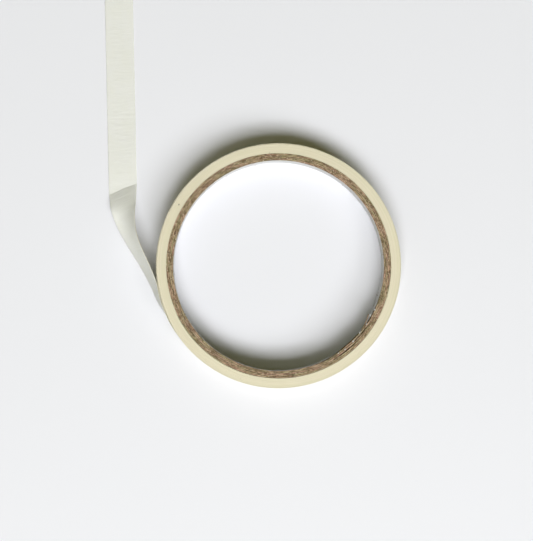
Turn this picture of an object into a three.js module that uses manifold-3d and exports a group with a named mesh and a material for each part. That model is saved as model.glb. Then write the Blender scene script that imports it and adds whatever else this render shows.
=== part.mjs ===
// A roll of masking tape lying flat, with a short free tail.
//
// Units are millimetres, +Z is up. The origin is on the roll's axis, in the plane of its lower face.
// The core is wound from paper plies, each with one slanted butt seam. One long strip of crepe paper is
// wound round it. The strip leaves the roll standing on edge, leans over until it lies flat at a
// crease, and runs on along the surface that the roll lies on.

import Module from 'manifold-3d';
import * as THREE from 'three';
import { mergeVertices } from 'three/addons/utils/BufferGeometryUtils.js';

// Core
const boreDiameter = 76.2;
const coreWall = 2.55;
const linerThickness = 0.22;
const kraftPlyCount = 4;
const glueLine = 0.03;

// Tape
const tapeWidth = 10.2;
const tapeThickness = 0.137;
const turnsOnRoll = 27;
const turnClearance = 0.06; // lets the outermost turn travel round the turns below it

// Seams between the two edges of a spirally wound ply
const seamSlant = THREE.MathUtils.degToRad(28);
const seamGap = 0.3;
const firstSeamAngle = THREE.MathUtils.degToRad(24);
const seamSpacing = THREE.MathUtils.degToRad(137);

// Tail
const peelAngle = THREE.MathUtils.degToRad(205);
const jointGap = 0.3; // between two stretches of the strip
const creaseStart = new THREE.Vector2(-61.9, 26.2); // at the strip's lower edge
const creaseSkew = 3.9; // how much further along the strip the crease is at its upper edge
const flatLength = 82;
const flatLean = THREE.MathUtils.degToRad(1.3); // of the flat stretch, from +Y towards -X

// Mesh fineness
const ringSegments = 72;
const twistSteps = 24;

// Worked out from the sizes above
const boreRadius = boreDiameter / 2;
const coreRadius = boreRadius + coreWall;
const kraftThickness = (coreWall - linerThickness - kraftPlyCount * glueLine) / kraftPlyCount;
const rollRadius = coreRadius + turnsOnRoll * tapeThickness;
const outerTurnInside = rollRadius - tapeThickness;
const tailRadius = rollRadius + jointGap;
const floorHeight = tapeThickness / 2; // the strip's middle surface, where it lies flat
const flatHeading = new THREE.Vector2(-Math.sin(flatLean), Math.cos(flatLean));
const flatAcross = new THREE.Vector2(Math.cos(flatLean), Math.sin(flatLean));
const creaseEnd = creaseStart.clone()
  .addScaledVector(flatAcross, tapeWidth)
  .addScaledVector(flatHeading, creaseSkew);

// The two long edges of the twisted stretch, from the peel line to the crease, at the same fractions
// of their lengths. The lower edge stays on the surface that the roll lies on. The upper edge hugs the
// roll for its first three points, then leans away and comes down.
const lowerEdge = [
  onRoll(205, floorHeight),
  [-43.7, -13.8, floorHeight],
  [-46.3, -8.0, floorHeight],
  [-49.2, -2.4, floorHeight],
  [-52.4, 3.0, floorHeight],
  [-55.7, 8.4, floorHeight],
  [-58.7, 14.0, floorHeight],
  [-60.9, 19.9, floorHeight],
  [...creaseStart, floorHeight],
];
const upperEdge = [
  onRoll(205, tapeWidth),
  onRoll(196.5, tapeWidth - 0.1),
  onRoll(188, tapeWidth - 0.4),
  [-46.6, 0.0, 9.6],
  [-49.3, 5.9, 9.3],
  [-51.5, 12.0, 8.6],
  [-52.2, 18.2, 7.0],
  [-52.1, 24.1, 4.2],
  [...creaseEnd, floorHeight],
];

const wasm = await Module();
wasm.setup();

// A point on the tail's side of the roll, at an angle in degrees and a height.
function onRoll(degrees, height) {
  const angle = THREE.MathUtils.degToRad(degrees);
  return [tailRadius * Math.cos(angle), tailRadius * Math.sin(angle), height];
}

function toManifold(geometry) {
  const bare = geometry.clone();
  bare.deleteAttribute('normal');
  bare.deleteAttribute('uv');
  const merged = mergeVertices(bare);
  const vertProperties = new Float32Array(merged.attributes.position.array);
  const triVerts = new Uint32Array(merged.index.array);
  return new wasm.Manifold(new wasm.Mesh({ numProp: 3, vertProperties, triVerts }));
}

function toGeometry(manifold) {
  const { vertProperties, triVerts } = manifold.getMesh();
  const geometry = new THREE.BufferGeometry();
  geometry.setAttribute('position', new THREE.BufferAttribute(vertProperties, 3));
  geometry.setIndex(new THREE.BufferAttribute(triVerts, 1));
  geometry.computeVertexNormals();
  return geometry;
}

function material(color, roughness) {
  return new THREE.MeshStandardMaterial({ color, roughness, metalness: 0 });
}

function namedMesh(name, geometry, finish) {
  const mesh = new THREE.Mesh(geometry, finish);
  mesh.name = name;
  return mesh;
}

// A full ring of the tape's width, standing on the lower face, with a rectangular section.
function ring(inner, outer) {
  const section = [
    new THREE.Vector2(inner, 0),
    new THREE.Vector2(outer, 0),
    new THREE.Vector2(outer, tapeWidth),
    new THREE.Vector2(inner, tapeWidth),
    new THREE.Vector2(inner, 0),
  ];
  const lathe = new THREE.LatheGeometry(section, ringSegments);
  return lathe.rotateX(Math.PI / 2);
}

// A thin slab that cuts a ring's wall right through at an angle. A slant of 0 lies flat, and a
// quarter turn stands upright.
function seamCutter(angle, slant, radius) {
  const reach = tapeWidth / Math.sin(slant) + 4 * seamGap;
  const slab = new THREE.BoxGeometry(2 * coreWall, reach, seamGap);
  slab.rotateX(slant);
  slab.translate(radius, 0, tapeWidth / 2);
  return slab.rotateZ(angle);
}

// A ring whose ends meet at one seam.
function seamedRing(inner, outer, angle, slant) {
  const whole = toManifold(ring(inner, outer));
  const cutter = toManifold(seamCutter(angle, slant, (inner + outer) / 2));
  return toGeometry(whole.subtract(cutter));
}

// The core's liner and kraft plies, from the bore outwards.
function corePlies() {
  const plies = [];
  let inner = boreRadius;
  for (let index = 0; index <= kraftPlyCount; index += 1) {
    const isLiner = index === 0;
    const outer = inner + (isLiner ? linerThickness : kraftThickness);
    const angle = firstSeamAngle + index * seamSpacing;
    const geometry = seamedRing(inner, outer, angle, seamSlant);
    const name = isLiner ? 'core_liner' : `core_kraft_ply_${index}`;
    const finish = isLiner ? material(0xd8d6cf, 0.75) : material(0x96826a, 0.9);
    plies.push(namedMesh(name, geometry, finish));
    inner = outer + glueLine;
  }
  return plies;
}

// Every turn of the strip except the outermost, as one solid.
function woundTape() {
  const geometry = ring(coreRadius + glueLine, outerTurnInside - turnClearance);
  return namedMesh('tape_wound_turns', geometry, material(0xe2dbb8, 0.8));
}

// The outermost turn, which begins and ends at the peel line.
function outermostTurn() {
  const upright = Math.PI / 2;
  const geometry = seamedRing(outerTurnInside, rollRadius, peelAngle, upright);
  return namedMesh('tape_outer_turn', geometry, material(0xe4dfc4, 0.75));
}

// A solid strip of even thickness. Each section is the strip's four corners in order: low front, low
// back, high back and high front. The front and the back are split along the same diagonals, so a
// twisted strip keeps its thickness.
function stripFromSections(sections) {
  const positions = sections.flat().flatMap((corner) => corner.toArray());
  const indices = [];
  const quad = (a, b, c, d) => indices.push(a, b, c, a, c, d);
  const last = sections.length - 1;
  for (let step = 0; step < last; step += 1) {
    const here = 4 * step;
    quad(here, here + 1, here + 5, here + 4);
    quad(here + 1, here + 2, here + 6, here + 5);
    quad(here + 2, here + 3, here + 7, here + 6);
    quad(here, here + 4, here + 7, here + 3);
  }
  quad(3, 2, 1, 0);
  quad(4 * last, 4 * last + 1, 4 * last + 2, 4 * last + 3);
  const geometry = new THREE.BufferGeometry();
  geometry.setAttribute('position', new THREE.Float32BufferAttribute(positions, 3));
  geometry.setIndex(indices);
  geometry.computeVertexNormals();
  return geometry;
}

// The stretch that stands on edge at the roll and lies flat at the crease.
function twistedStretch() {
  const lower = new THREE.CatmullRomCurve3(lowerEdge.map((point) => new THREE.Vector3(...point)));
  const upper = new THREE.CatmullRomCurve3(upperEdge.map((point) => new THREE.Vector3(...point)));
  const sections = [];
  for (let step = 0; step <= twistSteps; step += 1) {
    const along = step / twistSteps;
    const low = lower.getPoint(along);
    const high = upper.getPoint(along);
    const heading = lower.getTangent(along).add(upper.getTangent(along));
    const across = high.clone().sub(low);
    const outward = heading.cross(across).setLength(tapeThickness / 2);
    sections.push([
      low.clone().add(outward),
      low.clone().sub(outward),
      high.clone().sub(outward),
      high.clone().add(outward),
    ]);
  }
  return namedMesh('tape_tail_twist', stripFromSections(sections), material(0xe0ddcb, 0.75));
}

// The stretch beyond the crease, flat on the surface that the roll lies on.
function flatStretch() {
  const farLeft = creaseStart.clone().addScaledVector(flatHeading, flatLength);
  const outline = new THREE.Shape([
    creaseStart.clone().addScaledVector(flatHeading, jointGap),
    creaseEnd.clone().addScaledVector(flatHeading, jointGap),
    farLeft.clone().addScaledVector(flatAcross, tapeWidth),
    farLeft,
  ]);
  const geometry = new THREE.ExtrudeGeometry(outline, { depth: tapeThickness, bevelEnabled: false });
  return namedMesh('tape_tail_flat', geometry, material(0xe5e9e1, 0.75));
}

const roll = new THREE.Group();
roll.add(...corePlies(), woundTape(), outermostTurn(), twistedStretch(), flatStretch());

export default roll;
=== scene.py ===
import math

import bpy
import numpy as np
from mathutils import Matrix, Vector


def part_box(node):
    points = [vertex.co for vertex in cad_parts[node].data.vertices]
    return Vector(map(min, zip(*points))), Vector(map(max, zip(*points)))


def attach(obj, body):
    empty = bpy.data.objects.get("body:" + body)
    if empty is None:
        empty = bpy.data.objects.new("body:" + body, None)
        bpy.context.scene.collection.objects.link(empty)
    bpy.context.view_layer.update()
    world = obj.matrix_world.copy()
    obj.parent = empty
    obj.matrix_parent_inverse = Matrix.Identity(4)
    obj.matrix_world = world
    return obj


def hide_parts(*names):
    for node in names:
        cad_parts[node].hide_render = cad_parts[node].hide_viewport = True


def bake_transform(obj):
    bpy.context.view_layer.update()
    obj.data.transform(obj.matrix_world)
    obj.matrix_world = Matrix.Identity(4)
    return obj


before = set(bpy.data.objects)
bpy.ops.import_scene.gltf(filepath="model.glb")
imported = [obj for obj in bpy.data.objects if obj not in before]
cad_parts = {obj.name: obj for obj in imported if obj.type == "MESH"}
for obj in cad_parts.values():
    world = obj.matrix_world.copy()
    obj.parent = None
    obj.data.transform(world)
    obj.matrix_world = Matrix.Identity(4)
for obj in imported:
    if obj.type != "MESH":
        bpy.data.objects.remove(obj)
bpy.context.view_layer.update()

# A narrow roll of masking tape lying on a pale table, with a free tail that twists over and lies flat.
#
# Everything is in metres in the CAD frame: +Z up along the roll's axis, the table at Z 0. Each piece is
# first laid out flat, as three lengths for every vertex: along the paper, across it, and out through its
# thickness. It is then rolled up or draped. The flat layout stays on the mesh as the attribute
# "unrolled", and every material draws its pattern in it, so that a pattern follows the paper.

MM = 0.001

# ---- Sizes ---------------------------------------------------------------------------------------


def outer_radius(node):
    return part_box(node)[1].x


# Core
KRAFT_PLIES = range(1, 5)
PLY_NODES = [f"core_kraft_ply_{ply}" for ply in KRAFT_PLIES]
LINER_THICKNESS = 0.22 * MM
GLUE_LINE = 0.03 * MM
BORE_RADIUS = outer_radius("core_liner") - LINER_THICKNESS
CORE_RADIUS = outer_radius(PLY_NODES[-1])
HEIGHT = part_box("tape_wound_turns")[1].z
SEAM_SLANT = math.radians(28)
SEAM_GAP = 0.25 * MM
FIRST_SEAM = math.radians(24)
SEAM_SPACING = math.radians(137)
RIM = 0.5 * MM  # how far from a cut edge a ply's wall is smooth again
CUT_REACH = 0.2 * MM  # how near a cut edge the mesh's points move with its fuzz
PLY_STEPS = 1200

# Wear on the core. Angles are in degrees round the roll's axis, from +X.
PLY_RISE = np.array([-0.08, -0.05, 0.05, -0.06, 0.03]) * MM  # of each cut edge, from the liner outwards
# A split is between a ply and the next one out: the ply's number, the angles where the split starts and
# stops, and how wide it opens.
SPLITS = [(1, -54, -29, 0.26 * MM), (2, -64, -38, 0.36 * MM)]
SPLIT_DEPTH = HEIGHT / 2
TORN_LINER = (-76, -13)  # where the tear in the liner's upper edge starts and stops
TORN_DEPTH = 2.9 * MM
TEAR_ROUGHNESS = 0.35  # as a share of that depth
# Where a bit of the torn liner still stands: its angle, and how far out it is from the bore's wall.
LINER_BITS = [
    (-25, 0.2 * MM),
    (-29, -0.4 * MM),
    (-34, 0.1 * MM),
    (-40, 0.0 * MM),
    (-46, 0.4 * MM),
    (-52, 0.6 * MM),
    (-56, 0.3 * MM),
]
BIT_RISE = 0.16 * MM
FLAP_ROOT = -37.5
FLAP_TIP = -28.5
FLAP_REACH = 1.0 * MM  # into the bore, at the flap's tip
FLAP_HEIGHT = 4 * MM
FLAP_TAPER = 0.6  # how much of that height is lost by the tip
FLAP_FRAY = 0.042  # how ragged its lower edge is, as a share of the height
FLAP_RAGGEDNESS = 0.35 * MM  # of its upper edge
FLAP_THICKNESS = 0.2 * MM
FIBRE_COUNT = 2400
HAIR_RINGS = 5
HAIR_SIDES = 3
HAIR_FLATNESS = 0.5  # how thick a hair is for its width
HAIR_TIP = 0.05  # how wide its tip is for its width

# Tape
TAPE_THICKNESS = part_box("tape_tail_flat")[1].z
HALF = TAPE_THICKNESS / 2
WOUND_TURNS = 26
STEPS_PER_TURN = 360
OUTER_TURN_STEPS = 1600
TURN_GAP = 0.004 * MM
FACE_FALL = 0.2 * MM  # how much lower the upper face is at the rim than at the core
ROLL_RADIUS = outer_radius("tape_outer_turn")
WOUND_RADIUS = ROLL_RADIUS - TAPE_THICKNESS - TURN_GAP
PEEL_DEGREES = 205
PEEL_ANGLE = math.radians(PEEL_DEGREES)
STRIP_CORNER = 0.85  # how thick the strip is at its corners, for its full thickness
LIGHT_THROUGH = 0.34  # the share of the light that one layer of tape lets through
FREE_PAPER = [(0.960, 0.970, 0.950), (0.980, 0.990, 0.978)]
PAPER_ON_ROLL = [(0.70, 0.66, 0.52), (0.78, 0.74, 0.60)]  # the layers beneath tint it
CRUMB_ANGLE = math.radians(148.3)
CRUMB_RADIUS = 42.3 * MM
CRUMB_LENGTH = 0.55 * MM
CRUMB_HALF_WIDTH = 0.2 * MM

# Tail
FLAT_LENGTH = 82 * MM
FLAT_LEAN = math.radians(1.3)
FLAT_HEADING = np.array([-math.sin(FLAT_LEAN), math.cos(FLAT_LEAN), 0])
FLAT_ACROSS = np.array([math.cos(FLAT_LEAN), math.sin(FLAT_LEAN), 0])
CREASE_START = np.array([-61.9 * MM, 26.2 * MM, HALF])
CREASE_SKEW = 3.9 * MM
CREASE_END = CREASE_START + HEIGHT * FLAT_ACROSS + CREASE_SKEW * FLAT_HEADING
CREASE_WAVE = 0.45 * MM
CREASE_WAVE_REACH = 4 * MM
END_LIFT = 0.16 * MM  # how far the outermost turn's end stands off the roll
END_SHARE = 0.04  # of a turn, over which it comes away
TWIST_STEPS = 360
FLAT_STEPS = 560
TEAR_SLANT = 1.1 * MM  # how much longer the torn end is along one edge than along the other
TEAR_TEETH = 0.35 * MM
FLAT_WAVE = 0.12 * MM  # half of how far the flat stretch lifts off the table in places
FLAT_WAVE_START = 6 * MM  # how far from the crease it has its full height


def on_roll(degrees, height, gap):
    """The middle of a strip that lies on the roll, or stands off it by a gap."""
    angle = math.radians(degrees)
    radius = ROLL_RADIUS - HALF + gap
    return [radius * math.cos(angle), radius * math.sin(angle), height]


# The two long edges of the twisted stretch, from the peel line to the crease. The lower edge lifts off
# the table just before the crease.
LOWER_EDGE = [
    on_roll(PEEL_DEGREES, HALF, END_LIFT),
    [-0.0437, -0.0138, HALF],
    [-0.0463, -0.0080, HALF],
    [-0.0492, -0.0024, HALF],
    [-0.0524, 0.0030, HALF],
    [-0.0557, 0.0084, 0.0005],
    [-0.0587, 0.0140, 0.0014],
    [-0.0609, 0.0199, 0.0020],
    CREASE_START,
]
UPPER_EDGE = [
    on_roll(PEEL_DEGREES, HEIGHT - FACE_FALL, END_LIFT),
    on_roll(196.5, HEIGHT - FACE_FALL, 0.25 * MM),
    on_roll(188, HEIGHT - 2 * FACE_FALL, 0.35 * MM),
    [-0.0466, 0.0000, 0.0096],
    [-0.0493, 0.0059, 0.0093],
    [-0.0515, 0.0120, 0.0083],
    [-0.0522, 0.0182, 0.0061],
    [-0.0520, 0.0241, 0.0029],
    CREASE_END,
]

# Camera, which looks down on the roll's upper face from nearly straight above
CAMERA_PLACE = Vector((-19, -19, 700)) * MM
CAMERA_AIM = Vector((-4.4 * MM, -1.8 * MM, HEIGHT))
CAMERA_LENS = 127

# Table and light
TABLE_SIDE = 12.0
TABLE_DROP = 0.02 * MM  # keeps the table clear of the roll's lower face
TABLE_COLOUR = (0.795, 0.805, 0.87)
TABLE_ALBEDO = 0.8
ROOM_COLOUR = (1.0, 0.95, 0.18)
ROOM_STRENGTH = 0.085

# ---- Helpers -------------------------------------------------------------------------------------


def ease(share):
    """A share from 0 to 1, with a soft start and a soft end."""
    return share * share * (3 - 2 * share)


def ripple(seed, along, across, along_size, across_size):
    """Smooth random values from -1 to 1 over a surface, with about one bump in each cell of that size.
    Where across is all zeros, the values change along the surface only."""
    a = (along - along.min()) / along_size
    b = (across - across.min()) / across_size
    knots = np.random.default_rng(seed).uniform(-1, 1, (int(a.max()) + 2, int(b.max()) + 2))
    i, j = a.astype(int), b.astype(int)
    s, t = ease(a - i), ease(b - j)
    near = knots[i, j] * (1 - t) + knots[i, j + 1] * t
    far = knots[i + 1, j] * (1 - t) + knots[i + 1, j + 1] * t
    return near * (1 - s) + far * s


def spline(points, places):
    """Points on a centripetal Catmull-Rom curve, at places from 0 to 1 along its points."""
    points = np.array([list(p) for p in points], float)
    padded = np.vstack([2 * points[0] - points[1], points, 2 * points[-1] - points[-2]])
    place = np.clip(places, 0, 1) * (len(points) - 1)
    first = np.minimum(place.astype(int), len(points) - 2)
    t = (place - first)[:, None]
    p0, p1, p2, p3 = (padded[first + k] for k in range(4))
    d0 = np.linalg.norm(p1 - p0, axis=1, keepdims=True) ** 0.5
    d1 = np.linalg.norm(p2 - p1, axis=1, keepdims=True) ** 0.5
    d2 = np.linalg.norm(p3 - p2, axis=1, keepdims=True) ** 0.5
    out = ((p1 - p0) / d0 - (p2 - p0) / (d0 + d1) + (p2 - p1) / d1) * d1
    into = ((p2 - p1) / d1 - (p3 - p1) / (d1 + d2) + (p3 - p2) / d2) * d1
    square = 3 * (p2 - p1) - 2 * out - into
    cube = 2 * (p1 - p2) + out + into
    return p1 + t * (out + t * (square + t * cube))


def strip_section(width, half_thickness, steps, edge=0.01 * MM):
    """A thin section as a closed loop, up the front and down the back: (across, depth) for each point.
    Its corners are bevelled over the length of edge."""
    across = np.concatenate([[0, edge], np.linspace(0, width, steps)[1:-1], [width - edge, width]])
    depth = np.full(len(across), half_thickness)
    depth[[0, -1]] *= STRIP_CORNER
    return np.concatenate([across, across[::-1]]), np.concatenate([depth, -depth[::-1]])


def rounded(radius, angle, height):
    """Points from their distance to the roll's axis, their angle round it and their height."""
    return np.stack([radius * np.cos(angle), radius * np.sin(angle), height], axis=-1)


def laid_out(along, across, depth):
    return np.stack([along, across, depth], axis=-1)


def new_piece(name, places, faces, unrolled, materials):
    """A smooth mesh that keeps its flat layout."""
    mesh = bpy.data.meshes.new(name)
    mesh.from_pydata(places.reshape(-1, 3).tolist(), [], faces)
    layout = mesh.attributes.new("unrolled", "FLOAT_VECTOR", "POINT")
    layout.data.foreach_set("vector", unrolled.reshape(-1).astype(np.float32))
    for material in materials:
        mesh.materials.append(material)
    mesh.shade_smooth()
    piece = bpy.data.objects.new(name, mesh)
    bpy.context.scene.collection.objects.link(piece)
    return piece


def solid(name, places, unrolled, front, back=None, edge=None):
    """A mesh of sections one after another. The first half of each section's points is the piece's front,
    and the rest its back. Without materials of their own, the back and the edges look like the front."""
    stations, points, _ = places.shape
    index = np.arange(stations * points).reshape(stations, points)
    after = np.roll(index, -1, axis=1)
    walls = np.stack([index[:-1], after[:-1], after[1:], index[1:]], axis=-1)
    half = points // 2
    up, down = index[:, :half], index[:, :half - 1:-1]
    ladder = [[up[:, k], up[:, k + 1], down[:, k + 1], down[:, k]] for k in range(half - 1)]
    ladder = np.array(ladder).transpose(2, 0, 1)
    faces = np.concatenate([walls.reshape(-1, 4), ladder[0, :, ::-1], ladder[-1]])
    materials = (front, back or front, edge or front)
    piece = new_piece(name, places, faces.tolist(), unrolled, materials)
    front_slot, back_slot, edge_slot = range(3)
    sides = np.full((stations - 1, points), front_slot)
    sides[:, half:] = back_slot
    rims_and_bevels = [0, half - 2, half - 1, half, points - 2, points - 1]
    sides[:, rims_and_bevels] = edge_slot
    ends = np.full(2 * (half - 1), edge_slot)
    slots = np.concatenate([sides.reshape(-1), ends])
    piece.data.polygons.foreach_set("material_index", slots.astype(np.int32))
    piece.data.set_sharp_from_angle(angle=math.radians(50))
    piece.data.update()
    return piece


# ---- Materials -----------------------------------------------------------------------------------


def new_node(tree, kind, inputs, **settings):
    """Adds a node. An input is given a value, or another node's output to link to."""
    node = tree.nodes.new(kind)
    for name, value in settings.items():
        setattr(node, name, value)
    for name, value in inputs.items():
        if isinstance(value, bpy.types.NodeSocket):
            tree.links.new(value, node.inputs[name])
        else:
            node.inputs[name].default_value = value
    return node


def new_material(name, **shader_inputs):
    """A material, its node tree and its one shader."""
    material = bpy.data.materials.new(name)
    material.use_nodes = True
    tree = material.node_tree
    tree.nodes.clear()
    shader = new_node(tree, "ShaderNodeBsdfPrincipled", shader_inputs)
    new_node(tree, "ShaderNodeOutputMaterial", {"Surface": shader.outputs["BSDF"]})
    return material, tree, shader


def grain(tree, along, across, depth, offset=0.0, detail=3.0):
    """Noise in the paper's own layout, with grains of that size in metres. Its values are near 0.5."""
    layout = new_node(tree, "ShaderNodeAttribute", {}, attribute_name="unrolled")
    scaled = new_node(
        tree,
        "ShaderNodeVectorMath",
        {0: layout.outputs["Vector"], 1: (1 / along, 1 / across, 1 / depth), 2: (offset, offset, offset)},
        operation="MULTIPLY_ADD",
    )
    noise = new_node(
        tree, "ShaderNodeTexNoise", {"Vector": scaled.outputs[0], "Scale": 1.0, "Detail": detail}
    )
    return noise.outputs["Fac"]


def ramp(tree, value, stops):
    """Colours at places from 0 to 1."""
    node = new_node(tree, "ShaderNodeValToRGB", {"Fac": value})
    points = node.color_ramp.elements
    while len(points) < len(stops):
        points.new(0.5)
    for point, (place, colour) in zip(points, stops):
        point.position = place
        point.color = (*colour, 1)
    return node.outputs["Color"]


def paint(tree, shader, colour):
    tree.links.new(colour, shader.inputs["Base Color"])


def mixed(tree, share, first, second, blend="MIX"):
    """Two colours as one. The mix node keeps its sockets for colours at 0, 6 and 7, and at output 2."""
    node = new_node(
        tree, "ShaderNodeMix", {0: share, 6: first, 7: second}, data_type="RGBA", blend_type=blend
    )
    return node.outputs[2]


def bump(tree, shader, height, distance, strength=1.0):
    node = new_node(
        tree, "ShaderNodeBump", {"Height": height, "Distance": distance, "Strength": strength}
    )
    tree.links.new(node.outputs["Normal"], shader.inputs["Normal"])


def grey(level):
    return (level, level, level)


def kraft_board(name, offset):
    """Brown board: streaks that run along the ply, patches of tint, dark glue lines and pale fibres."""
    material, tree, shader = new_material(name, Roughness=0.9)
    streaks = grain(tree, 1.4 * MM, 0.5 * MM, 0.34 * MM, offset)
    browns = ramp(
        tree,
        streaks,
        [(0.38, (0.15, 0.105, 0.058)), (0.5, (0.34, 0.25, 0.15)), (0.61, (0.52, 0.41, 0.275))],
    )
    patches = grain(tree, 5 * MM, 6 * MM, 1.2 * MM, offset + 5)
    tints = ramp(tree, patches, [(0.38, (0.90, 0.98, 0.84)), (0.62, (1.12, 0.95, 1.02))])
    tinted = mixed(tree, 1.0, browns, tints, "MULTIPLY")
    layout = new_node(tree, "ShaderNodeAttribute", {}, attribute_name="unrolled")
    depth = new_node(tree, "ShaderNodeSeparateXYZ", {0: layout.outputs["Vector"]}).outputs["Z"]
    from_middle = new_node(tree, "ShaderNodeMath", {0: depth}, operation="ABSOLUTE").outputs[0]
    at_glue = new_node(
        tree,
        "ShaderNodeMapRange",
        {"Value": from_middle, "From Min": 0.17 * MM, "From Max": 0.27 * MM, "To Min": 1.0, "To Max": 0.38},
    )
    lined = mixed(tree, 1.0, tinted, at_glue.outputs[0], "MULTIPLY")
    dots = grain(tree, 0.6 * MM, 0.3 * MM, 0.5 * MM, offset + 9, detail=1.0)
    specks = ramp(tree, dots, [(0.64, grey(0)), (0.70, grey(1))])
    colour = mixed(tree, specks, lined, (0.74, 0.65, 0.50, 1))
    paint(tree, shader, colour)
    bump(tree, shader, grain(tree, 0.3 * MM, 0.2 * MM, 0.08 * MM, offset + 3), 0.06 * MM)
    return material


def loose_fibre():
    """Pale and brown hairs of board."""
    material, tree, shader = new_material("loose_fibre", Roughness=0.8)
    shades = grain(tree, 3 * MM, 1 * MM, 1 * MM, 11)
    colour = ramp(
        tree,
        shades,
        [(0.35, (0.22, 0.15, 0.09)), (0.5, (0.42, 0.33, 0.22)), (0.62, (0.68, 0.61, 0.47))],
    )
    paint(tree, shader, colour)
    return material


def liner_paper(name, darker, lighter):
    """Pale uncoated paper, mottled between two levels of brightness."""
    material, tree, shader = new_material(name, Roughness=0.7)
    mottle = grain(tree, 3 * MM, 2 * MM, 1 * MM)
    colour = ramp(tree, mottle, [(0.3, grey(darker)), (0.7, grey(lighter))])
    paint(tree, shader, colour)
    bump(tree, shader, grain(tree, 0.5 * MM, 0.3 * MM, 0.3 * MM, 4), 0.02 * MM)
    return material


def let_light_through(material, colour):
    """Makes paper glow with the light behind it."""
    tree = material.node_tree
    shader = tree.nodes["Principled BSDF"]
    through = new_node(tree, "ShaderNodeBsdfTranslucent", {"Color": colour})
    both = new_node(
        tree, "ShaderNodeMixShader", {0: LIGHT_THROUGH, 1: shader.outputs["BSDF"], 2: through.outputs["BSDF"]}
    )
    tree.links.new(both.outputs["Shader"], tree.nodes["Material Output"].inputs["Surface"])


def tape_edge():
    """The cut edges of the wound turns, whose shade drifts a little from turn to turn."""
    material, tree, shader = new_material("tape_edge", Roughness=0.75)
    turns = grain(tree, 25 * MM, 8 * MM, 0.16 * MM, detail=1.0)
    bands = grain(tree, 60 * MM, 8 * MM, 0.9 * MM, 7, detail=2.0)
    creams = ramp(tree, turns, [(0.3, (0.710, 0.662, 0.505)), (0.7, (0.760, 0.715, 0.560))])
    tints = ramp(tree, bands, [(0.35, (0.97, 0.985, 0.94)), (0.65, (1.03, 1.015, 1.05))])
    colour = mixed(tree, 1.0, creams, tints, "MULTIPLY")
    paint(tree, shader, colour)
    bump(tree, shader, grain(tree, 0.5 * MM, 0.5 * MM, 0.07 * MM, 2), 0.012 * MM)
    return material


def crepe_back(name, darker, lighter):
    """The creped paper, mottled between its darker and lighter colour in fine streaks the size of its
    wrinkles: painted highlight and shade for the tops and hollows of the wrinkles, laid out apart from the
    mesh's own wrinkles.
    """
    material, tree, shader = new_material(name, Roughness=0.6)
    # Painted highlight and shade: streaks of the wrinkles' size, lighter where they stand in for the
    # wrinkles' lit tops.
    wrinkles = grain(tree, 0.4 * MM, 2.5 * MM, 1 * MM)
    clouds = grain(tree, 6 * MM, 5 * MM, 1 * MM, 3)
    painted_wrinkle_light = ramp(tree, wrinkles, [(0.3, darker), (0.7, lighter)])
    tints = ramp(tree, clouds, [(0.35, (0.99, 0.99, 0.975)), (0.65, (1.0, 1.0, 1.0))])
    colour = mixed(tree, 1.0, painted_wrinkle_light, tints, "MULTIPLY")
    paint(tree, shader, colour)
    bump(tree, shader, grain(tree, 0.25 * MM, 1.2 * MM, 1 * MM, 6), 0.012 * MM)
    let_light_through(material, colour)
    return material


def adhesive():
    """The sticky side, a little glossy and yellower than the paper."""
    material, tree, shader = new_material("adhesive", Roughness=0.35)
    smears = grain(tree, 2 * MM, 2 * MM, 1 * MM, 3)
    colour = ramp(tree, smears, [(0.3, (0.95, 0.945, 0.89)), (0.7, (0.97, 0.965, 0.925))])
    paint(tree, shader, colour)
    bump(tree, shader, grain(tree, 0.5 * MM, 2 * MM, 1 * MM, 8), 0.015 * MM)
    let_light_through(material, colour)
    return material


def crumb():
    """A dark bit of adhesive and dust."""
    material, tree, shader = new_material("crumb", Roughness=0.6)
    lumps = grain(tree, 0.1 * MM, 0.1 * MM, 0.1 * MM)
    colour = ramp(tree, lumps, [(0.4, (0.05, 0.05, 0.03)), (0.6, (0.13, 0.12, 0.07))])
    paint(tree, shader, colour)
    return material


# ---- Core ----------------------------------------------------------------------------------------


def in_degrees(angle):
    """An angle in degrees from -180 to 180."""
    return np.degrees(np.angle(np.exp(1j * angle)))


def swell(degrees, first, last):
    """0 before the first angle and after the last, and 1 halfway between them."""
    share = np.clip((degrees - first) / (last - first), 0, 1)
    return np.sin(math.pi * share) ** 2


def let_go(angle, height, ply):
    """How far a ply has come away from the next one and leans into the bore, near its upper edge."""
    degrees = in_degrees(angle)
    lean = np.zeros_like(degrees)
    for outermost, first, last, width in SPLITS:
        if ply <= outermost:
            lean = lean + width * swell(degrees, first, last)
    return lean * ease(np.clip((height - HEIGHT + SPLIT_DEPTH) / SPLIT_DEPTH, 0, 1))


def liner_tear(angle, along):
    """How far down the liner's upper edge is torn away."""
    ragged = 1 - TEAR_ROUGHNESS + TEAR_ROUGHNESS * ripple(8, along, along * 0, 0.9 * MM, 1)
    return TORN_DEPTH * ragged * np.sqrt(swell(in_degrees(angle), *TORN_LINER))


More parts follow.
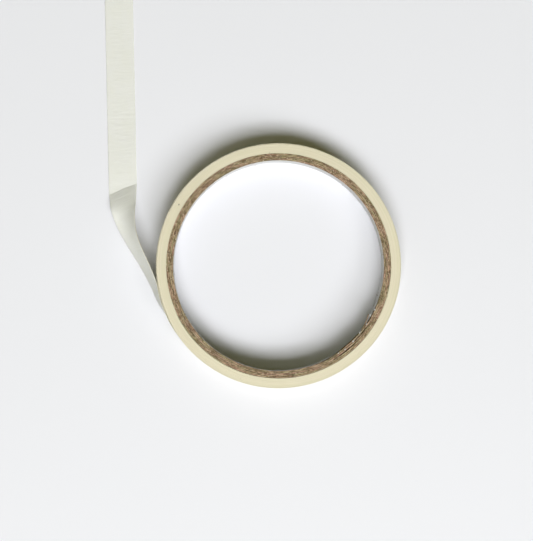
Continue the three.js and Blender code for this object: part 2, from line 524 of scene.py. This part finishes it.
def core_ply(ply, node, inner, outer, board, bore_face):
    """One ply as a ring that is open at its slanted seam, with a fuzzy cut edge above and below. Its side
    towards the bore has a material of its own."""
    seed = 20 * ply
    middle = (inner + outer) / 2
    half_thickness = (outer - inner) / 2
    gap = SEAM_GAP / math.sin(SEAM_SLANT)
    rim_depth = np.array([0.2, 0.65, 0.95, 1.0]) * half_thickness  # a cut edge, rounded at its corners
    rim_drop = np.array([0, 0, 0.04, 0.12]) * MM
    wall = np.linspace(RIM, HEIGHT - RIM, 6)
    across = np.concatenate([rim_drop, wall, HEIGHT - rim_drop[::-1]])
    depth = np.concatenate([rim_depth, np.full(len(wall), half_thickness), rim_depth[::-1]])
    across, depth = np.concatenate([across, across[::-1]]), np.concatenate([depth, -depth[::-1]])
    along = np.linspace(gap / 2, 2 * math.pi * middle - gap / 2, PLY_STEPS)
    along, across = np.broadcast_arrays(along[:, None], across[None, :])
    depth = np.broadcast_to(depth, along.shape)
    coarse = ripple(seed, along, depth, 0.5 * MM, 0.2 * MM)
    fine = ripple(seed + 1, along, depth, 0.24 * MM, 0.12 * MM)
    slow = ripple(seed + 2, along, depth * 0, 9 * MM, 1)
    fuzz = (0.07 * coarse + 0.05 * fine + 0.06 * slow) * MM + PLY_RISE[ply]
    height = across + fuzz * (across > HEIGHT - CUT_REACH) + np.abs(fuzz) * (across < CUT_REACH)
    slant = (across - HEIGHT / 2) / math.tan(SEAM_SLANT)
    angle = FIRST_SEAM + ply * SEAM_SPACING + (slant - along) / middle
    if ply == 0:
        height = height - liner_tear(angle, along) * (across / HEIGHT) ** 3  # less and less further down
    wave = 0.02 * MM * ripple(seed + 3, along, across, 4 * MM, 3 * MM)
    radius = middle + depth + wave - let_go(angle, across, ply)
    name = "liner_paper" if ply == 0 else f"kraft_ply_{ply}_board"
    layout = laid_out(along, across, depth)
    piece = solid(name, rounded(radius, angle, height), layout, board, bore_face)
    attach(piece, "roll")
    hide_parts(node)


def torn_flap(board):
    """The torn end of the innermost kraft ply, which stands off into the bore."""
    across, depth = strip_section(FLAP_HEIGHT, FLAP_THICKNESS / 2, 6)
    share = np.linspace(0, 1, 40)[:, None]
    degrees = FLAP_ROOT + share * (FLAP_TIP - FLAP_ROOT)
    ragged = ripple(5, degrees, degrees * 0, 0.9, 1)
    across, share = np.broadcast_arrays(across[None, :], share)
    depth = np.broadcast_to(depth, across.shape)
    top = HEIGHT + FLAP_RAGGEDNESS * ragged * share
    height = top - (FLAP_HEIGHT - across) * (1 - FLAP_TAPER * share + FLAP_FRAY * ragged)
    radius = BORE_RADIUS - FLAP_THICKNESS / 2 - FLAP_REACH * share ** 1.5 + depth
    along = share * math.radians(FLAP_TIP - FLAP_ROOT) * BORE_RADIUS
    places = rounded(radius, np.radians(degrees), height)
    layout = laid_out(along, across, depth)
    piece = solid("core_torn_flap", places[::-1], layout[::-1], board)
    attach(piece, "roll")


def hair_points(start, run, bend, half_width):
    """The corners of a bent, tapering hair, as rings from its root to its tip."""
    side = np.cross(run, (0, 0, 1))
    side /= np.linalg.norm(side)
    share = np.linspace(0, 1, HAIR_RINGS)[:, None, None]
    corner = np.radians(90 + 360 / HAIR_SIDES * np.arange(HAIR_SIDES))[None, :, None]
    middle = start + run * share + bend * np.sin(math.pi * share)
    section = np.cos(corner) * side + np.sin(corner) * np.array([0, 0, HAIR_FLATNESS])
    return middle + half_width * (1 + HAIR_TIP - share ** 3) * section


def hair_faces(first):
    """A hair's walls and its two ends. first is the number of its first corner."""
    last = first + HAIR_SIDES * (HAIR_RINGS - 1)
    faces = [tuple(reversed(range(first, first + HAIR_SIDES))), tuple(range(last, last + HAIR_SIDES))]
    for here in range(first, last, HAIR_SIDES):
        for k in range(HAIR_SIDES):
            after = (k + 1) % HAIR_SIDES
            faces.append((here + k, here + after, here + HAIR_SIDES + after, here + HAIR_SIDES + k))
    return faces


def slivers(name, rows, material):
    """Many short bent hairs of paper as one mesh. A row is a hair's start, its run, its bend and its
    half width, each as a vector or a length."""
    points = np.array([hair_points(*row) for row in rows])
    corners_each = HAIR_RINGS * HAIR_SIDES
    faces = [face for number in range(len(rows)) for face in hair_faces(number * corners_each)]
    own_patch = 1.5 * MM * np.arange(len(rows))  # so that no two hairs share a patch of the pattern
    unrolled = np.zeros(points.shape)
    unrolled[..., 0] = own_patch[:, None, None] + np.linspace(0, 1, HAIR_RINGS)[None, :, None] * MM
    piece = new_piece(name, points, faces, unrolled, [material])
    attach(piece, "roll")


def cut_fibres(material):
    """The hairs that the slitting knife left on the core's upper and lower faces."""
    random = np.random.default_rng(300)
    rows = []
    for number in range(FIBRE_COUNT):
        upper = number % 2 == 0
        angle = random.uniform(0, 2 * math.pi)
        radius = random.uniform(BORE_RADIUS + 0.1 * MM, CORE_RADIUS - 0.1 * MM)
        length = random.uniform(0.3, 1.3) * MM
        turn = angle + math.pi / 2 + random.normal(0, 0.5)  # mostly along the ply
        rise = random.uniform(-0.1, 0.25) if upper else random.uniform(0.0, 0.02)
        height = HEIGHT + 0.03 * MM if upper else 0.04 * MM
        start = np.array([radius * math.cos(angle), radius * math.sin(angle), height])
        run = length * np.array([math.cos(turn), math.sin(turn), rise])
        bend = length * np.array([random.uniform(-0.2, 0.2), random.uniform(-0.2, 0.2), 0.08 * upper])
        rows.append((start, run, bend, random.uniform(0.012, 0.07) * MM))
    slivers("core_cut_fibres", rows, material)


def liner_bits(material):
    """Bits of the liner that still stand where the rest of its upper edge is torn away."""
    random = np.random.default_rng(400)
    rows = []
    for degrees, offset in LINER_BITS:
        angle = math.radians(degrees)
        outward = np.array([math.cos(angle), math.sin(angle), 0])
        along = np.array([-math.sin(angle), math.cos(angle), 0])
        start = (BORE_RADIUS + offset) * outward + np.array([0, 0, HEIGHT + BIT_RISE])
        run = random.uniform(0.5, 1.0) * MM * along + np.array([0, 0, 0.1 * MM])
        rows.append((start, run, -0.1 * MM * outward, random.uniform(0.22, 0.34) * MM))
    slivers("torn_liner_bits", rows, material)


def make_core():
    # Painted shade: the liner's bore face is painted darker, 0.52 to 0.62, than the liner's own pale grey, so
    # that it and the table in the bore look less bright. The torn bits below keep the paler colour.
    liner = liner_paper("liner_paper", 0.52, 0.62)
    boards = [kraft_board(f"kraft_board_{ply}", 20.0 * ply) for ply in KRAFT_PLIES]
    inner = BORE_RADIUS
    for ply, node in enumerate(["core_liner", *PLY_NODES]):
        outer = outer_radius(node)
        board = boards[max(ply - 1, 0)]
        core_ply(ply, node, inner, outer, board, board if ply else liner)
        inner = outer + GLUE_LINE
    torn_flap(boards[0])
    cut_fibres(loose_fibre())
    liner_bits(liner_paper("torn_liner_paper", 0.8, 0.9))


# ---- Tape on the roll ----------------------------------------------------------------------------


def make_wound_tape(edge):
    """Every turn of the strip except the outermost, as one long spiral."""
    inside = CORE_RADIUS + GLUE_LINE
    pitch = (WOUND_RADIUS - inside) / WOUND_TURNS
    across, depth = strip_section(HEIGHT, 0.49 * pitch, 2, 0.02 * MM)
    turn = np.linspace(0, WOUND_TURNS - 0.001, WOUND_TURNS * STEPS_PER_TURN)[:, None]
    radius = inside + pitch * (0.5 + turn * (WOUND_TURNS - 1) / WOUND_TURNS)
    along = 2 * math.pi * (inside + pitch * turn / 2) * turn
    along, across = np.broadcast_arrays(along, across[None, :])
    depth = np.broadcast_to(depth, along.shape)
    sway = 0.03 * MM * ripple(1, along, across * 0, 45 * MM, 1) - FACE_FALL * turn / WOUND_TURNS
    angle = PEEL_ANGLE - 2 * math.pi * turn
    upper = across > HEIGHT / 2
    places = rounded(radius + depth, angle, across + sway * upper)
    from_core = np.broadcast_to(radius - CORE_RADIUS, along.shape) + depth
    piece = solid("wound_tape", places, laid_out(along, across, from_core), edge)
    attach(piece, "roll")
    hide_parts("tape_wound_turns")


def crepe(seed, along, across):
    """The crepe paper's wrinkles, which run across the strip."""
    return (
        0.022 * MM * ripple(seed, along, across, 0.55 * MM, 3.2 * MM)
        + 0.012 * MM * ripple(seed + 1, along, across, 0.3 * MM, 1.6 * MM)
    )


def make_outer_turn(faces):
    """The outermost turn, whose end rides up over its own beginning just before the tail peels off."""
    middle = ROLL_RADIUS - HALF
    across, depth = strip_section(HEIGHT - FACE_FALL, HALF, 12)
    turn = np.linspace(0.0002, 1, OUTER_TURN_STEPS)[:, None]
    along = 2 * math.pi * middle * turn
    along, across = np.broadcast_arrays(along, across[None, :])
    depth = np.broadcast_to(depth, along.shape)
    wrinkled = np.where(depth > 0, crepe(40, along, across), 0) * ease(np.clip((1 - turn) / 0.01, 0, 1))
    lift = END_LIFT * ease(np.clip((turn - 1 + END_SHARE) / END_SHARE, 0, 1))
    radius = middle + depth + wrinkled + lift
    angle = PEEL_ANGLE - 2 * math.pi * turn
    places = rounded(radius, angle, across)
    piece = solid("outer_turn_tape", places, laid_out(along, across, depth), *faces)
    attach(piece, "outer_turn")
    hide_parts("tape_outer_turn")


def make_face_crumb():
    """A dark crumb that is stuck to the roll's upper face."""
    outward = np.array([math.cos(CRUMB_ANGLE), math.sin(CRUMB_ANGLE), 0])
    round_roll = np.array([-math.sin(CRUMB_ANGLE), math.cos(CRUMB_ANGLE), 0])
    up = np.array([0, 0, 1])
    start = CRUMB_RADIUS * outward + (HEIGHT - 0.06 * MM) * up
    row = (start, CRUMB_LENGTH * round_roll, 0.08 * MM * up, CRUMB_HALF_WIDTH)
    slivers("tape_face_crumb", [row], crumb())


# ---- Tail ----------------------------------------------------------------------------------------


def crease_wave(across, from_crease):
    """The crease isn't quite straight. How far the paper near it is shifted along the flat stretch."""
    wave = CREASE_WAVE * ripple(90, across, across * 0, 2.6 * MM, 1) * np.sin(math.pi * across / HEIGHT)
    return (wave * ease(np.clip(1 - from_crease / CREASE_WAVE_REACH, 0, 1)))[..., None] * FLAT_HEADING


def make_twist(faces):
    """The stretch that leaves the roll on edge and leans over until it lies flat at the crease."""
    across, depth = strip_section(HEIGHT, HALF, 12)
    share = np.linspace(0, 1, TWIST_STEPS)
    low, high = spline(LOWER_EDGE, share), spline(UPPER_EDGE, share)
    middle = (low + high) / 2
    lengths = np.linalg.norm(np.diff(middle, axis=0), axis=1)
    along = np.concatenate([[0], np.cumsum(lengths)])
    heading = np.gradient(middle, axis=0)
    sideways = high - low
    outward = np.cross(sideways, heading)
    outward /= np.linalg.norm(outward, axis=1, keepdims=True)
    along, across = np.broadcast_arrays(along[:, None], across[None, :])
    depth = np.broadcast_to(depth, along.shape)
    wrinkled = np.where(depth > 0, crepe(60, along, across), 0) * ease(np.clip(along / (2 * MM), 0, 1))
    places = low[:, None] + sideways[:, None] * (across / HEIGHT)[..., None]
    places = places + outward[:, None] * (depth + wrinkled)[..., None]
    places = places + crease_wave(across, along.max() - along)
    piece = solid("tail_twist_tape", places, laid_out(along, across, depth), *faces)
    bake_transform(piece)
    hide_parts("tape_tail_twist")
    return piece


def make_flat(faces, twist):
    """The stretch beyond the crease, which lies on the table and ends where it was torn off."""
    across, depth = strip_section(HEIGHT, HALF, 26)
    share = np.linspace(0, 1, FLAT_STEPS)[:, None]
    across, share = np.broadcast_arrays(across[None, :], share)
    depth = np.broadcast_to(depth, across.shape)
    begin = CREASE_SKEW * across / HEIGHT
    tear = TEAR_SLANT * across / HEIGHT + TEAR_TEETH * ripple(80, across, across * 0, 0.6 * MM, 1)
    along = begin + share * (FLAT_LENGTH + tear - begin)
    height = depth + np.where(depth > 0, crepe(70, along, across), 0)
    freedom = ease(np.clip((along - begin) / FLAT_WAVE_START, 0, 1))
    lifted = FLAT_WAVE * (1 + ripple(71, along, across, 14 * MM, 20 * MM)) * freedom
    places = CREASE_START + along[..., None] * FLAT_HEADING + across[..., None] * FLAT_ACROSS
    places = places + (height + lifted)[..., None] * np.array([0, 0, 1]) + crease_wave(across, along - begin)
    piece = solid("tail_flat_tape", places, laid_out(along, across, depth), *faces)
    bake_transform(piece)
    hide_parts("tape_tail_flat")


# ---- Stage ---------------------------------------------------------------------------------------


def make_floor():
    """A plain pale table top that reaches past every view."""
    material, _, shader = new_material("pale_table", Roughness=0.55)
    shader.inputs["Base Color"].default_value = (*TABLE_COLOUR, 1)
    mesh = bpy.data.meshes.new("table_top")
    reach = TABLE_SIDE / 2
    corners = [(-reach, -reach, 0), (reach, -reach, 0), (reach, reach, 0), (-reach, reach, 0)]
    mesh.from_pydata(corners, [], [(0, 1, 2, 3)])
    mesh.materials.append(material)
    floor = bpy.data.objects.new("table_top", mesh)
    floor.location.z = -TABLE_DROP
    bpy.context.scene.collection.objects.link(floor)


def softbox(name, slope, spread, height, brightness):
    """A flat light that faces the roll. slope is how far it stands off along X and Y, and spread how
    wide and how deep it is, all as shares of its height. brightness is how bright it alone makes the
    table, where 1 is white."""
    place = Vector((slope[0], slope[1], 1)) * height
    light = bpy.data.lights.new(name, "AREA")
    light.shape = "RECTANGLE"
    light.size = spread[0] * height
    light.size_y = spread[1] * height
    facing = height / place.length
    light.energy = brightness / TABLE_ALBEDO * math.pi ** 2 * place.length_squared / facing
    lamp = bpy.data.objects.new(name, light)
    lamp.location = place
    lamp.rotation_mode = "QUATERNION"
    lamp.rotation_quaternion = (-place).to_track_quat("-Z", "Y")
    bpy.context.scene.collection.objects.link(lamp)


def make_lights():
    softbox("key_light", slope=(0.05, -0.62), spread=(0.7, 0.55), height=2.3, brightness=0.565)
    softbox("side_light", slope=(0.75, -1.0), spread=(0.8, 0.6), height=5, brightness=0.235)
    softbox("fill_light", slope=(-1.3, -0.4), spread=(1.4, 1.4), height=4, brightness=0.05)
    world = bpy.data.worlds.new("room")
    world.use_nodes = True
    background = world.node_tree.nodes["Background"]
    background.inputs["Color"].default_value = (*ROOM_COLOUR, 1)
    background.inputs["Strength"].default_value = ROOM_STRENGTH
    bpy.context.scene.world = world


def make_camera():
    data = bpy.data.cameras.new("camera")
    data.lens = CAMERA_LENS
    camera = bpy.data.objects.new("camera", data)
    camera.location = CAMERA_PLACE
    reach = CAMERA_AIM - CAMERA_PLACE
    camera.rotation_euler = (-math.atan(reach.y / reach.z), math.atan(reach.x / reach.z), 0)
    bpy.context.scene.collection.objects.link(camera)
    bpy.context.scene.camera = camera


make_camera()
make_floor()
make_lights()
edge = tape_edge()
sticky = adhesive()
tail_faces = (crepe_back("crepe_back", *FREE_PAPER), sticky, edge)
make_flat(tail_faces, make_twist(tail_faces))
make_outer_turn((crepe_back("crepe_back_on_roll", *PAPER_ON_ROLL), sticky, edge))
make_wound_tape(edge)
make_face_crumb()
make_core()
bpy.context.scene.view_settings.view_transform = "Standard"
